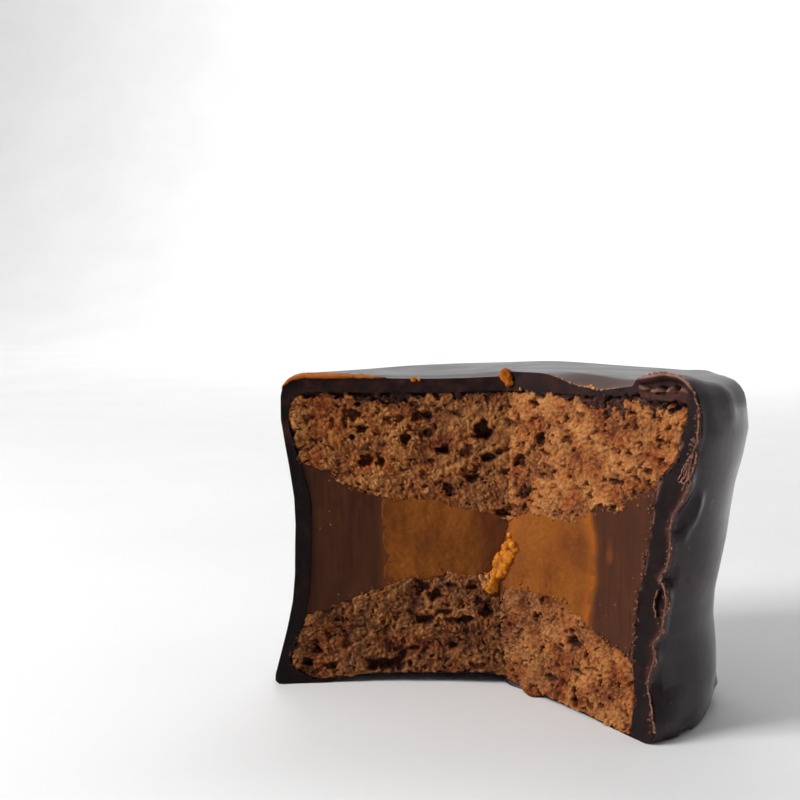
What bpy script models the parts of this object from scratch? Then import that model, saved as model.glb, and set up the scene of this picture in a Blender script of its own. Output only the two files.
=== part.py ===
"""A chocolate-covered alfajor with a third cut away: two domed cookies round a milk-caramel
filling with a spiced-caramel core, all inside a chocolate coating. Metres, +Z up.
The origin is the middle of the face it rests on."""

import math

import bmesh
import bpy
from mathutils import Vector

MM = 0.001

# Driving sizes, in millimetres
TOP_Z = 41.4                # top of the coating at its rim
DOME = 0.5                  # how much higher the middle of the top is
TOP_COAT = 2.4              # coating over the upper cookie
WALL_COAT = 2.1             # coating round the side
BASE_COAT = 0.9             # coating under the lower cookie
GAP = 0.3                   # clearance between neighbouring layers
CORE_R = 16.2               # radius of the core in the filling
UPPER_EDGE_Z = 29.0         # lower rim of the upper cookie
UPPER_MIDDLE_Z = 22.5       # lowest point of its dome
LOWER_EDGE_Z = 8.6          # upper rim of the lower cookie
LOWER_MIDDLE_Z = 14.9       # highest point of its dome
CORNER = 1.6                # rounding of the cookies' edges

# Outer wall, by height: (z, radius, x and y of its centre). The coating is drawn in at the
# filling, and the upper cookie has slid to the front right.
WALL = (
    (0.0, 28.7, -0.7, -1.0),
    (3.5, 28.7, -0.1, -0.8),
    (7.6, 28.1, 0.3, -0.7),
    (10.0, 27.6, 0.4, -0.7),
    (13.4, 27.3, 0.6, -0.9),
    (17.0, 27.6, 0.9, -1.3),
    (21.0, 27.9, 1.3, -1.7),
    (25.0, 28.2, 1.4, -2.0),
    (28.5, 28.7, 1.4, -2.2),
    (31.0, 29.2, 1.5, -2.3),
    (34.5, 30.0, 1.6, -2.5),
    (38.0, 29.9, 1.4, -2.5),
    (TOP_Z, 29.6, 1.3, -2.5),
)

CUT_CORNER = Vector((1.2, -1.4))        # inner corner where the two cut faces meet
LEFT_CUT_DEG = 184.4
RIGHT_CUT = ((-5, -53), (0, -53), (5, -50.5), (12, -48.5), (30, -48.5), (47, -46))  # (z, degrees)
LEFT_CUT_HOLLOW, RIGHT_CUT_HOLLOW = 1.1, 0.4    # how far each cut face bows into the food
CUT_REACH = 45.0
CUT_STEPS = 10
BOW_LENGTH = 30.0           # distance over which a cut face bows

AROUND = 60                 # steps round the cookie
DOME_STEPS = 6              # steps across a dome
RING_STEPS = 6              # steps down the outside of the filling
BASE_RINGS = (24, 20, 16, 12, 8, 4, 0)  # radii at which a base can bend

# Handmade unevenness: (angle deg, height, angle width deg, height width, outward mm)
BULGES = (
    (184, 0.0, 30, 3.0, 0.3),           # foot where the coating ran onto the table
    (-50, 0.0, 18, 3.5, 0.9),           # the same beside the right cut
    (62, 20.0, 40, 8.0, 0.5),           # fuller filling at the back
    (118, 36.0, 30, 5.0, -0.4),         # flatter spot on the upper cookie
)
BULGE_FULL_R = 28.0

# Unevenness of the top: (x, y, width, upward mm)
TOP_SWELLS = (
    (18.6, -20.4, 4.2, 1.3),            # raised ear of coating beside the right cut
    (12.0, -12.4, 5.0, -0.9),           # hollow along the right cut
    (-9.0, -2.2, 8.0, -0.4),            # dip along the left cut
    (-15.0, 9.0, 13.0, -0.7),           # left side sunk a little
)
SWELL_FROM_Z = 36.0

# The base lifts off the table along both cuts: (degrees, lift, how far it runs out)
ARCHES = ((LEFT_CUT_DEG, 1.45, 26.0), (-53, 0.6, 24.0))
ARCH_DEPTH = 6.0
ARCH_FADE = 9.0
ARCH_TOP_Z = 12.0

REST_CENTRE = Vector((2.0, 9.0))        # middle of the face it rests on: the part's origin

COLOURS = {                 # name: (base colour, roughness)
    "dark_chocolate": ((0.030, 0.018, 0.014), 0.30),
    "cocoa_crumb": ((0.240, 0.100, 0.038), 0.90),
    "milk_caramel": ((0.062, 0.024, 0.012), 0.45),
    "spiced_caramel": ((0.250, 0.090, 0.018), 0.55),
}


def smooth(t):
    """0 below 0, 1 above 1, and an even S between."""
    t = min(1.0, max(0.0, t))
    return t * t * (3 - 2 * t)


def falloff(distance):
    return math.exp(-distance * distance)


def angle_between(a, b):
    return (a - b + 180) % 360 - 180


def clear_scene():
    for old in list(bpy.data.objects):
        bpy.data.objects.remove(old, do_unlink=True)


def material(name):
    """Principled material in one of the part's colours."""
    colour, roughness = COLOURS[name]
    made = bpy.data.materials.new(name)
    made.use_nodes = True
    shader = made.node_tree.nodes["Principled BSDF"]
    shader.inputs["Base Color"].default_value = (*colour, 1)
    shader.inputs["Roughness"].default_value = roughness
    shader.inputs["Metallic"].default_value = 0
    return made


def by_height(table, z):
    """Values of a table of (height, value, ...) at height z, in a straight line between its rows."""
    for low, high in zip(table, table[1:]):
        if z <= high[0]:
            t = max(0.0, (z - low[0]) / (high[0] - low[0]))
            return [a + (b - a) * t for a, b in zip(low[1:], high[1:])]
    return list(table[-1][1:])


def wall_radius(z, inset=0.0):
    """Outer radius of the coated cookie at height z, less inset."""
    return by_height(WALL, z)[0] - inset


def side(z_top, z_base, inset, round_top, round_base, step=3.6):
    """Profile points down the side, from z_top to z_base, with both edges rounded."""
    points = []
    for i in range(3):
        turn = math.pi / 2 * i / 3
        z = z_top - round_top * (1 - math.cos(turn))
        points.append((wall_radius(z_top - round_top, inset) - round_top * (1 - math.sin(turn)), z))
    low, high = z_base + round_base, z_top - round_top
    count = max(2, round((high - low) / step))
    for i in range(count + 1):
        z = high + (low - high) * i / count
        points.append((wall_radius(z, inset), z))
    for i in range(1, 3):
        turn = math.pi / 2 * i / 2
        z = low - round_base * math.sin(turn)
        points.append((wall_radius(low, inset) - round_base * (1 - math.cos(turn)), z))
    return points


def dome_z(r, edge_z, middle_z, edge_r):
    """Height of a cookie's domed face at radius r."""
    return middle_z + (edge_z - middle_z) * smooth(r / edge_r * 0.86) / smooth(0.86)


def upper_face_z(r):
    return dome_z(r, UPPER_EDGE_Z, UPPER_MIDDLE_Z, wall_radius(UPPER_EDGE_Z, WALL_COAT + GAP))


def lower_face_z(r):
    return dome_z(r, LOWER_EDGE_Z, LOWER_MIDDLE_Z, wall_radius(LOWER_EDGE_Z, WALL_COAT + GAP))


def across(z_of_r, r_from, r_to, steps=DOME_STEPS):
    """Profile points along a domed face, from one radius to another."""
    radii = [r_from + (r_to - r_from) * i / steps for i in range(steps + 1)]
    return [(r, z_of_r(r)) for r in radii]


def coating_profile():
    top = [(r, TOP_Z) for r in (0, 5, 10, 15, 20, 25)]
    return top + side(TOP_Z, 0, 0, 2.6, 0.9) + [(r, 0) for r in BASE_RINGS]


def cavity_profile():
    roof, floor = TOP_Z - TOP_COAT, BASE_COAT
    edge = side(roof, floor, WALL_COAT, CORNER + GAP, CORNER)
    return [(r, roof) for r in (0, 8, 16, 23)] + edge + [(r, floor) for r in BASE_RINGS[1:]]


def upper_cookie_profile():
    roof = TOP_Z - TOP_COAT - GAP
    rim = wall_radius(UPPER_EDGE_Z, WALL_COAT + GAP)
    edge = side(roof, UPPER_EDGE_Z, WALL_COAT + GAP, CORNER, CORNER)
    return [(r, roof) for r in (0, 8, 16, 23)] + edge + across(upper_face_z, rim - CORNER - 1, 0)


def lower_cookie_profile():
    floor = BASE_COAT + GAP
    rim = wall_radius(LOWER_EDGE_Z, WALL_COAT + GAP)
    edge = side(LOWER_EDGE_Z, floor, WALL_COAT + GAP, CORNER, CORNER)
    return across(lower_face_z, 0, rim - CORNER - 1) + edge + [(r, floor) for r in BASE_RINGS[1:]]


def filling_z(r, upper):
    """Height of the filling's upper or lower face: it fills the rounded cookie edges too."""
    return upper_face_z(r) - GAP if upper else lower_face_z(r) + GAP


def core_profile():
    r = CORE_R - GAP
    return across(lambda q: filling_z(q, True), 0, r, 4) + across(lambda q: filling_z(q, False), r, 0, 4)


def ring_profile():
    top_z, low_z = UPPER_EDGE_Z - GAP, LOWER_EDGE_Z + GAP
    heights = [top_z + (low_z - top_z) * i / RING_STEPS for i in range(RING_STEPS + 1)]
    wall = [(wall_radius(z, WALL_COAT + GAP), z) for z in heights]
    reach = wall_radius(UPPER_EDGE_Z, WALL_COAT + GAP) - CORNER - 1
    top = across(lambda q: filling_z(q, True), CORE_R, reach, 4)
    low = across(lambda q: filling_z(q, False), reach, CORE_R, 4)
    return top + wall + low


def handmade(point):
    """Moves a point of the ideal round cookie, in millimetres, to its place in the real one."""
    x, y, z = point
    r = math.hypot(x, y)
    angle = math.degrees(math.atan2(y, x))
    out = sum(
        amount * falloff(angle_between(angle, at) / wide) * falloff((z - level) / tall)
        for at, level, wide, tall, amount in BULGES
    )
    if r > 1:
        grow = 1 + out * min(1.0, r / BULGE_FULL_R) ** 2 / r
        x, y = x * grow, y * grow
    middle = by_height(WALL, z)[1:]
    x, y = x + middle[0], y + middle[1]
    if z > SWELL_FROM_Z:
        share = (z - SWELL_FROM_Z) / (TOP_Z - SWELL_FROM_Z)
        swell = DOME * max(0.0, 1 - (r / wall_radius(TOP_Z)) ** 2)
        for sx, sy, wide, amount in TOP_SWELLS:
            swell += amount * falloff(math.hypot(x - sx, y - sy) / wide)
        z += swell * share
    z += arch(Vector((x, y))) * max(0.0, 1 - z / ARCH_TOP_Z)
    return Vector((x, y, z))


def direction(degrees):
    return Vector((math.cos(math.radians(degrees)), math.sin(math.radians(degrees))))


def arch(at):
    """How far the base is lifted at a point of its plan."""
    lifts = []
    for degrees, lift, reach in ARCHES:
        out = at - CUT_CORNER
        along = out.dot(direction(degrees))
        aside = out.dot(direction(degrees + 90))
        share = smooth((reach - along) / ARCH_FADE) * smooth(0.8 + along / ARCH_DEPTH)
        lifts.append(lift * share * smooth(1 - abs(aside) / ARCH_DEPTH))
    return max(lifts)


def turned(name, profile, finish):
    """Object turned round the cookie's axis from a profile of (radius, height), then made uneven."""
    bm = bmesh.new()
    verts = [bm.verts.new((r, 0, z)) for r, z in profile]
    edges = [bm.edges.new(pair) for pair in zip(verts, verts[1:])]
    if profile[0][0] > 0:
        edges.append(bm.edges.new((verts[-1], verts[0])))
    bmesh.ops.spin(bm, geom=verts + edges, axis=(0, 0, 1), cent=(0, 0, 0), angle=math.tau,
                   steps=AROUND, use_merge=True)
    bmesh.ops.remove_doubles(bm, verts=bm.verts, dist=0.01)
    for vert in bm.verts:
        vert.co = handmade(vert.co) * MM
    bmesh.ops.recalc_face_normals(bm, faces=bm.faces)
    return placed(name, bm, finish)


def placed(name, bm, finish=None):
    """Object from a mesh laid out round the cookie's axis, moved so that the origin is REST_CENTRE."""
    bmesh.ops.translate(bm, verts=bm.verts, vec=(-REST_CENTRE.x * MM, -REST_CENTRE.y * MM, 0))
    mesh = bpy.data.meshes.new(name)
    bm.to_mesh(mesh)
    bm.free()
    mesh.shade_smooth()
    mesh.set_sharp_from_angle(angle=math.radians(40))
    made = bpy.data.objects.new(name, mesh)
    bpy.context.scene.collection.objects.link(made)
    if finish:
        mesh.materials.append(finish)
    return made


def as_cutter(made):
    made.hide_render = True
    made.display_type = "WIRE"
    return made


def cut_line(degrees, hollow):
    """Points along a cut, from the inner corner outwards, bowed into the food by hollow."""
    along = direction(degrees)
    inward = Vector((-along.y, along.x))
    if inward.y < 0:
        inward = -inward
    points = []
    for i in range(1, CUT_STEPS + 1):
        run = CUT_REACH * i / CUT_STEPS
        bow = hollow * math.sin(math.pi * min(1.0, run / BOW_LENGTH))
        points.append(CUT_CORNER + along * run + inward * bow)
    return points


def wedge_outline(right_degrees):
    """Plan of the missing third, with its right cut at the angle given."""
    left = cut_line(LEFT_CUT_DEG, LEFT_CUT_HOLLOW)
    right = cut_line(right_degrees, RIGHT_CUT_HOLLOW)
    front = [Vector((right[-1].x, -CUT_REACH * 1.5)), Vector((left[-1].x, -CUT_REACH * 1.5))]
    return [CUT_CORNER] + right + front + left[::-1]


def wedge_cutter():
    """Solid that takes the missing third away; its right cut face twists with height."""
    bm = bmesh.new()
    levels = [
        [bm.verts.new((p.x * MM, p.y * MM, z * MM)) for p in wedge_outline(degrees)]
        for z, degrees in RIGHT_CUT
    ]
    bm.faces.new(levels[0])
    bm.faces.new(levels[-1])
    for low, high in zip(levels, levels[1:]):
        for i, vert in enumerate(low):
            j = (i + 1) % len(low)
            bm.faces.new((vert, low[j], high[j], high[i]))
    bmesh.ops.triangulate(bm, faces=bm.faces)
    bmesh.ops.recalc_face_normals(bm, faces=bm.faces)
    return as_cutter(placed("cut_away_wedge", bm))


def take_away(made, cutter):
    cut = made.modifiers.new("less_" + cutter.name, "BOOLEAN")
    cut.operation = "DIFFERENCE"
    cut.object = cutter


def build():
    clear_scene()
    chocolate = material("dark_chocolate")
    crumb = material("cocoa_crumb")
    wedge = wedge_cutter()
    cavity = as_cutter(turned("coating_cavity", cavity_profile(), None))
    coating = turned("coating", coating_profile(), chocolate)
    take_away(coating, cavity)
    layers = [
        coating,
        turned("upper_cookie", upper_cookie_profile(), crumb),
        turned("lower_cookie", lower_cookie_profile(), crumb),
        turned("filling", ring_profile(), material("milk_caramel")),
        turned("filling_core", core_profile(), material("spiced_caramel")),
    ]
    for layer in layers:
        take_away(layer, wedge)


build()
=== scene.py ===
import math
import random
import bmesh
import bpy
from mathutils import Euler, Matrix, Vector, noise
from mathutils.bvhtree import BVHTree


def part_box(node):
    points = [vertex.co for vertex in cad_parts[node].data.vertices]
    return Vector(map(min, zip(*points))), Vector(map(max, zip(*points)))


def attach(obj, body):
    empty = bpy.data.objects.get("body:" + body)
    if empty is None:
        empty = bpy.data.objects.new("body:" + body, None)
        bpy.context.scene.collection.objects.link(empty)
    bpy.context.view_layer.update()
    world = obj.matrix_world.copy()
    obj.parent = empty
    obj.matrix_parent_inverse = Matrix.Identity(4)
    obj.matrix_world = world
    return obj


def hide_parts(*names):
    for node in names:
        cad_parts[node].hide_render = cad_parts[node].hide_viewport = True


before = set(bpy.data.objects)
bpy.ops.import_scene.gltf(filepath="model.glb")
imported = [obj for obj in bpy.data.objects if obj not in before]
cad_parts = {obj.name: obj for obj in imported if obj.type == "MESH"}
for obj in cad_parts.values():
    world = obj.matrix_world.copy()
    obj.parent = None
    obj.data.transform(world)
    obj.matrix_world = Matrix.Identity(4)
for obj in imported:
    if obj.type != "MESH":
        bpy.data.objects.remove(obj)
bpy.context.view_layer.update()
print("frame loaded")

mm = 0.001      # sizes below are in millimetres, meshes in metres
noise.seed_set(7)       # the same crumb every time

# The two cuts. They meet at the corner, and the right one twists with height.
cut = {
    "corner": Vector((-0.8, -10.4)),
    "leftDegrees": 184.4,
    "rightDegrees": ((0, -53), (5, -50.5), (12, -48.5), (30, -48.5), (47, -46)),
    "leftBow": 1.1,
    "rightBow": 0.4,
    "bowLength": 30,
    "bowFade": 0.12,    # share of the way round over which the bow dies out
    "cornerWave": ((0, 0.3), (7, -0.7), (13, -1.0), (18, -0.5), (23, 0.5), (28, 0.1), (33, 0.5), (39, 0)),
    "waveWidth": 3.2,
    "lean": 1.6,            # from this reach inwards the two faces lean together
    "roundDegrees": 233,    # food left between the cuts
}

camera = {
    "place": (-0.8, -179.72, 52.28),
    "turn": 4.736,      # degrees to the left
    "tilt": 4.838,      # degrees down
    "lens": 58.38,
}


def between(rows, at):
    # value on the straight lines between rows of (at, value)
    for low, high in zip(rows, rows[1:]):
        if at <= high[0]:
            return low[1] + (high[1] - low[1]) * max(0.0, (at - low[0]) / (high[0] - low[0]))
    return rows[-1][1]


def eased(t):
    t = min(1.0, max(0.0, t))
    return t * t * (3 - 2 * t)


def mix(a, b, t):
    return a + (b - a) * t


def hump(distance):
    return math.exp(-distance * distance)


# Places are given as a share of the way round the food (0 left cut, 1 right cut), a reach
# from the corner and a height.
def turnAt(share, z):
    return mix(cut["leftDegrees"], between(cut["rightDegrees"], z), share)


def outOfCut(share, z):
    # level direction straight out of the nearer cut face
    turn = math.radians(turnAt(round(share), z))
    side = 1 if share < 0.5 else -1
    return Vector((-math.sin(turn) * side, math.cos(turn) * side, 0))


def raised(share, reach, z, height):
    # point of a cut face raised by a height; towards the corner both faces lean together
    own = 0.5 + 0.5 * eased(reach / cut["lean"])
    way = (outOfCut(share, z) * own + outOfCut(1 - share, z) * (1 - own)).normalized()
    wave = between(cut["cornerWave"], z) + 0.2 * noise.noise(Vector((3.0, 0, z / 1.1)))
    return cutPoint(share, reach, z) + way * height + Vector((wave * hump(reach / cut["waveWidth"]), 0, 0))


def cutPoint(share, reach, z):
    turn = math.radians(turnAt(share, z))
    bend = math.sin(math.pi * min(1.0, reach / cut["bowLength"]))
    leftBow = cut["leftBow"] * bend * eased(1 - share / cut["bowFade"])
    rightBow = cut["rightBow"] * bend * eased(1 - (1 - share) / cut["bowFade"])
    aside = leftBow - rightBow      # both bow into the food
    x = cut["corner"].x + math.cos(turn) * reach + math.sin(turn) * aside
    y = cut["corner"].y + math.sin(turn) * reach - math.cos(turn) * aside
    return Vector((x, y, z))


def alongArc(share, reach):
    # distance round the food for a share of the way round
    return share * math.radians(cut["roundDegrees"]) * reach


def cadTree(name):
    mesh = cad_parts[name].data
    corners = [vert.co / mm for vert in mesh.vertices]
    return BVHTree.FromPolygons(corners, [tuple(face.vertices) for face in mesh.polygons])


trees = {name: cadTree(name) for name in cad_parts}

tableSteps = 180        # rays round the coating, and along its section
reachSteps = 32         # rays along a face, one for each millimetre
rayLength = 60
insideLeft, insideRight = 0.006, 0.017      # rays this far inside the cuts still meet the solids


def smoothed(table, rounds):
    # evens out the CAD facets along the way round
    rows, columns = len(table), len(table[0])
    for _ in range(rounds):
        table = [
            [(table[max(0, i - 1)][j] + 2 * table[i][j] + table[min(rows - 1, i + 1)][j]) / 4
             for j in range(columns)]
            for i in range(rows)
        ]
    return table


def lookup(table, share, along):
    a = min(1.0, max(0.0, share)) * (len(table) - 1)
    b = min(1.0, max(0.0, along)) * (len(table[0]) - 1)
    i = min(int(a), len(table) - 2)
    j = min(int(b), len(table[0]) - 2)
    near = mix(table[i][j], table[i][j + 1], b - j)
    far = mix(table[i + 1][j], table[i + 1][j + 1], b - j)
    return mix(near, far, a - i)


# A box inside the coating, seen from the corner: rays leave it square to its sides, and fan
# out at its two outer corners, so one number runs along the whole section.
guide = {"top": 31, "low": 9, "reach": 22, "cornerRun": 17}


def guideRay(along):
    reach, top, low, turn = guide["reach"], guide["top"], guide["low"], guide["cornerRun"]
    runs = (reach, turn, top - low, turn, reach)
    at = along * sum(runs)
    for k, run in enumerate(runs):
        if at <= run or k == len(runs) - 1:
            break
        at -= run
    t = min(1.0, at / run)
    if k == 0:
        return (reach * t, top), math.pi / 2
    if k == 1:
        return (reach, top), math.pi / 2 * (1 - t)
    if k == 2:
        return (reach, mix(top, low, t)), 0.0
    if k == 3:
        return (reach, low), -math.pi / 2 * t
    return (reach * (1 - t), low), -math.pi / 2


def sectionTables():
    # reach and height of the coating's outer and inner skin, round and along
    tree = trees["coating"]
    tables = [[], [], [], []]
    for i in range(tableSteps + 1):
        share = min(1 - insideRight, max(insideLeft, i / tableSteps))
        rows = [[], [], [], []]
        for j in range(tableSteps + 1):
            (reach, z), lift = guideRay(j / tableSteps)
            start = cutPoint(share, max(0.1, reach), z)
            turn = math.radians(turnAt(share, z))
            level = Vector((math.cos(turn), math.sin(turn), 0))
            way = level * math.cos(lift) + Vector((0, 0, math.sin(lift)))
            outer = tree.ray_cast(start + way * rayLength, -way)[0] or start
            inner = tree.ray_cast(start, way)[0] or outer
            for k, hit in ((0, outer), (2, inner)):
                rows[k].append(max(0.0, reach + (hit - start).dot(level)))
                rows[k + 1].append(hit.z)
        for k in range(4):
            tables[k].append(rows[k])
    return [smoothed(table, 8) for table in tables]


outerReach, outerZ, innerReach, innerZ = sectionTables()
print("coating measured")


def faceTable(name, upward):
    # height of a node's upper or lower face, by share and reach
    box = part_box(name)
    sky, ground = box[1].z / mm + 20, box[0].z / mm - 20
    tree = trees[name]
    table = []
    for i in range(tableSteps // 2 + 1):
        share = min(1 - insideRight, max(insideLeft, i / (tableSteps // 2)))
        row = []
        for j in range(reachSteps + 1):
            spot = cutPoint(share, max(0.1, float(j)), 20)
            start = Vector((spot.x, spot.y, sky if upward else ground))
            hit = tree.ray_cast(start, Vector((0, 0, -1 if upward else 1)))[0]
            row.append(hit.z if hit else row[-1])
        table.append(row)
    return smoothed(table, 3)


upperUnderside = faceTable("upper_cookie", False)
lowerTop = faceTable("lower_cookie", True)


def heightAt(table, share, reach):
    return lookup(table, share, reach / reachSteps)


# Coating. Dents and lumps are (degrees round the corner, height, width, tallness, outward).
coatingStyle = {
    "dents": (
        (-46.4, 27.0, 1.3, 2.0, -0.50),
        (-42.0, 28.0, 0.8, 1.2, 0.36),
        (-43.0, 26.4, 0.8, 1.2, 0.50),
        (-45.0, 24.6, 0.8, 1.0, 0.36),
        (-36, 1.0, 6, 1.6, 0.80),
        (-8, 2.5, 1.3, 0.8, 0.75),
        (2, 3.4, 5, 1.8, -0.25),
        (4, 36, 5, 3, 0.15),
        (150, 22, 9, 7, -0.3),
        (95, 12, 12, 4, 0.35),
        (60, 30, 7, 5, -0.25),
        (120, 34, 6, 3, 0.25),
    ),
    "topLumps": (           # (degrees, reach, width, upward)
        (-33, 30.4, 1.8, 0.35),
        (17, 29.5, 3.0, 0.45),
        (19, 29.8, 1.6, 0.35),
        (20, 20, 7, -0.25),
        (75, 24, 6, 0.3),
        (110, 12, 7, -0.2),
    ),
    "ripple": 0.10,
    "rippleSize": 9,
    "wallRadius": 28,       # dents are laid out on a wall of this radius
    # the right cut: (height, reach of the band's inner edge), (height, how far the wall stands out)
    "bandEdge": ((0, 24.9), (4.4, 23.7), (8.5, 22.9), (13, 22.9), (17, 23.3), (20.3, 24.4),
                 (23.3, 24.9), (26.7, 25.5), (29, 25.9), (31, 26.7), (33.2, 28.8), (35.5, 29.1),
                 (37.3, 29.9), (39, 29.8)),
    "wallLine": ((0, -0.9), (3, -1.4), (6, -1.5), (8, -0.8), (9.6, -0.2), (11.5, -0.4), (13, 0.7),
                 (16.5, 0.9), (17.8, 0.4), (19.2, -1.0), (21, 0.1), (23, 0), (25, -0.4), (27, 0),
                 (28.5, 0.9), (30, 1.1), (31.5, 0.7), (34, 0.4), (36, 0.6), (38, 0.5), (42, 0.3)),
    "wallFade": 17.0,       # distance behind the cut over which the wall line's long waves die out
    "lineFade": 1.8,        # and its short ones
    "wallLip": 0.15,        # flare of the wall's last bit at the right cut
    "lipFade": 1.1,
    "shoulder": 0.60,       # squarer shoulder of the coating at the right cut
    "shoulderFade": 12.0,
    "leftDip": ((0, 0.60), (4, 0.55), (10, 0.35), (30, 0.35)),  # the top rounds down to the left cut
    "leftDipWidth": 3.2,    # over this distance behind it
    # thickness of the top coat at the right cut by reach, and of the wall at the left one by height
    "topAtRight": ((0, 2.6), (6, 2.5), (9, 1.9), (13, 1.0), (20.5, 0.9), (22, 1.6), (24, 3.1),
                   (28, 3.4), (31, 3.0)),
    "leftBand": ((0, 2.0), (24, 2.2), (26.4, 2.0), (29, 1.7), (31, 1.3), (33.3, 1.2), (35.4, 1.0),
                 (38, 0.8)),
    "rightFade": 0.10,      # shares of the way round over which these pass into the rest
    "leftFade": 0.06,
    "baseNearRight": 0.1,   # how much of the base coat is left along the right cut
    "baseNearLeft": 0.15,   # and along the left one
    "fineEnds": 0.043,      # share of the way round beside each cut that has finer faces
}


# Ear: a curled lip of coating over a hollow, beside the right cut
earStyle = {
    "from": 22.3,           # reach where it starts, and where its hollow ends
    "to": 30.2,
    "lip": 0.70,            # thickness of the lip
    "proud": 0.42,
    "crescent": 1.15,       # tallness of the hollow at its middle
    "hollow": 0.32,
    "airHoles": ((25.7, 1.95, 0.62), (27.8, 1.80, 0.50), (23.6, 1.6, 0.34)),    # reach, down, radius
    "airDepth": 1.7,
    "dip": 0.75,            # hollow of the top beside it, along the cut
    "dipFrom": 6.5,
    "dipWidth": 5.0,        # how far it reaches behind the cut
}


def earRelief(reach, z, topZ, point):
    # relief of the ear at the right cut, how warm its colour is and how light; the crest's warmer, lighter
    # colour is a painted highlight where the lip is lit from above
    style = earStyle
    middle, half = (style["from"] + style["to"]) / 2, (style["to"] - style["from"]) / 2
    across = (reach - middle) / half
    down = topZ - z
    side = eased((1.12 - abs(across)) / 0.18)
    if side <= 0:
        return 0.0, 0.0, 0.0
    crest = eased((0.34 - down) / 0.22)
    lip = eased((style["lip"] + 0.25 - down) / 0.35)
    arch = math.sqrt(max(0.0, 1.02 - across * across))
    jagged = 0.38 * noise.noise(Vector((reach / 0.5, 0, 0)))
    jagged += 0.18 * noise.noise(Vector((reach / 0.2, 5, 0)))
    bottom = style["lip"] + style["crescent"] * arch + jagged * eased(arch * 2)
    inside = eased((bottom - down) / 0.12) * (1 - lip)
    depth = style["hollow"] * inside
    hole = 0.0
    for far, level, radius in style["airHoles"]:
        off = math.hypot(reach - far, (down - level) * 1.5) / radius + 0.6 * noise.noise(point / 0.35)
        hole = max(hole, eased((1.2 - off) / 0.3))
    depth = max(depth, style["airDepth"] * hole)
    under = eased((down - bottom) / 0.12) * eased((30.0 - reach) / 0.8)
    rough = (0.06 + 0.30 * noise.fractal(point / 0.8, 0.8, 2.1, 3)) * under
    # crest: painted highlight on the lip's top; the rough layer under the hollow is reddish of its own
    warm = max(0.95 * crest, 0.08 * lip, 0.05 * inside, (0.70 + 0.35 * noise.noise(point / 0.9)) * under)
    warm *= 1 - hole
    line = 0.75 * eased((0.18 - abs(down - bottom - 0.05)) / 0.12)      # its lower edge
    line *= eased(arch * 2) * eased((29.8 - reach) / 0.8)
    light = max(line, crest * (0.80 + 0.40 * noise.noise(point / 0.5))) * (1 - hole)
    return (style["proud"] * lip - depth + rough) * side, warm * side, light * side


def earRise(share, reach):
    # the ear stands up from the top at the cut and dies out behind it; beside it the top dips
    behind = alongArc(1 - share, reach)
    low = earStyle["from"] - 0.7 + 0.3 * behind
    rise = eased((reach - low) / 0.7) * eased((31.5 - reach) / 3.0)
    dip = eased((reach - earStyle["dipFrom"]) / 6.0) * eased((low + 0.3 - reach) / 0.9)
    deep = earStyle["dip"] * dip * eased(1 - behind / earStyle["dipWidth"])
    return 0.15 * rise * eased(1 - behind / 4.5) - deep


def longWave(z):
    # mean of the wall line over a few millimetres up and down
    steps = range(-6, 7)
    return sum(between(coatingStyle["wallLine"], z + step) for step in steps) / len(steps)


longWaves = [longWave(z) for z in range(46)]


def wallWaves(z):
    z = min(len(longWaves) - 1.1, max(0.0, z))
    return mix(longWaves[int(z)], longWaves[int(z) + 1], z - int(z))


def skin(share, along, depth):
    # point of the coating: depth 0 outside, 1 inside; also returns the way straight out
    style = coatingStyle
    lift = guideRay(along)[1]
    reach, z = lookup(outerReach, share, along), lookup(outerZ, share, along)
    degrees = turnAt(share, z)
    out = 0.0
    for at, level, wide, tall, amount in style["dents"]:
        across = math.radians(degrees - at) * style["wallRadius"]
        if abs(across) < 3 * wide and abs(z - level) < 3 * tall:
            out += amount * hump(across / wide) * hump((z - level) / tall)
    if lift > 0.6:
        for at, far, wide, amount in style["topLumps"]:
            across = math.radians(degrees - at) * far
            if abs(across) < 3 * wide:
                out += amount * hump(across / wide) * hump((reach - far) / wide)
        out += earRise(share, reach)
        dip = between(style["leftDip"], reach) * eased((lift - 0.6) / 0.8)
        out -= dip * eased(1 - alongArc(share, reach) / style["leftDipWidth"])
    behind = alongArc(1 - share, max(4.0, reach))
    onWall = eased((0.9 - abs(lift)) / 0.3)
    if onWall > 0:
        waves = wallWaves(z)
        line = waves * eased(1 - behind / style["wallFade"])
        line += (between(style["wallLine"], z) - waves) * eased(1 - behind / style["lineFade"])
        out += line * onWall
    out += style["shoulder"] * hump((lift - 0.75) / 0.42) * eased(1 - behind / style["shoulderFade"])
    out += style["wallLip"] * eased(1 - behind / style["lipFade"]) * onWall
    here = cutPoint(share, reach, z)
    out += style["ripple"] * noise.noise(here / style["rippleSize"]) * min(1.0, reach / 6)
    if z > 0.4:
        reach += out * math.cos(lift)
        z = max(0.0, z + out * math.sin(lift))
    if depth <= 0:
        return reach, z, lift
    inReach, inZ = lookup(innerReach, share, along), lookup(innerZ, share, along)
    nearRight = eased(1 - (1 - share) / style["rightFade"])
    nearLeft = eased(1 - share / style["leftFade"])
    wall = eased(math.cos(lift) * 1.6)
    if nearRight > 0:
        inReach = mix(inReach, between(style["bandEdge"], inZ), nearRight * wall)
        if lift > 1.0:
            under = between(style["topAtRight"], reach) + 0.45 * noise.noise(Vector((reach / 1.3, 2, 0)))
            under += 0.35 * noise.noise(Vector((reach / 0.5, 7, 0)))
            inZ = mix(inZ, max(inZ, z - under), nearRight)
    if nearLeft > 0:
        inReach = mix(inReach, reach - between(style["leftBand"], inZ), nearLeft * wall)
    if lift < -1.0:
        right = max(nearRight, eased(1 - reach / 7))
        left = nearLeft * mix(0.5, 1.0, eased((24 - reach) / 4))
        kept = min(mix(1.0, style["baseNearRight"], right), mix(1.0, style["baseNearLeft"], left))
        inZ = mix(z, inZ, kept)
    return mix(reach, inReach, depth), mix(z, inZ, depth), lift


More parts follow.
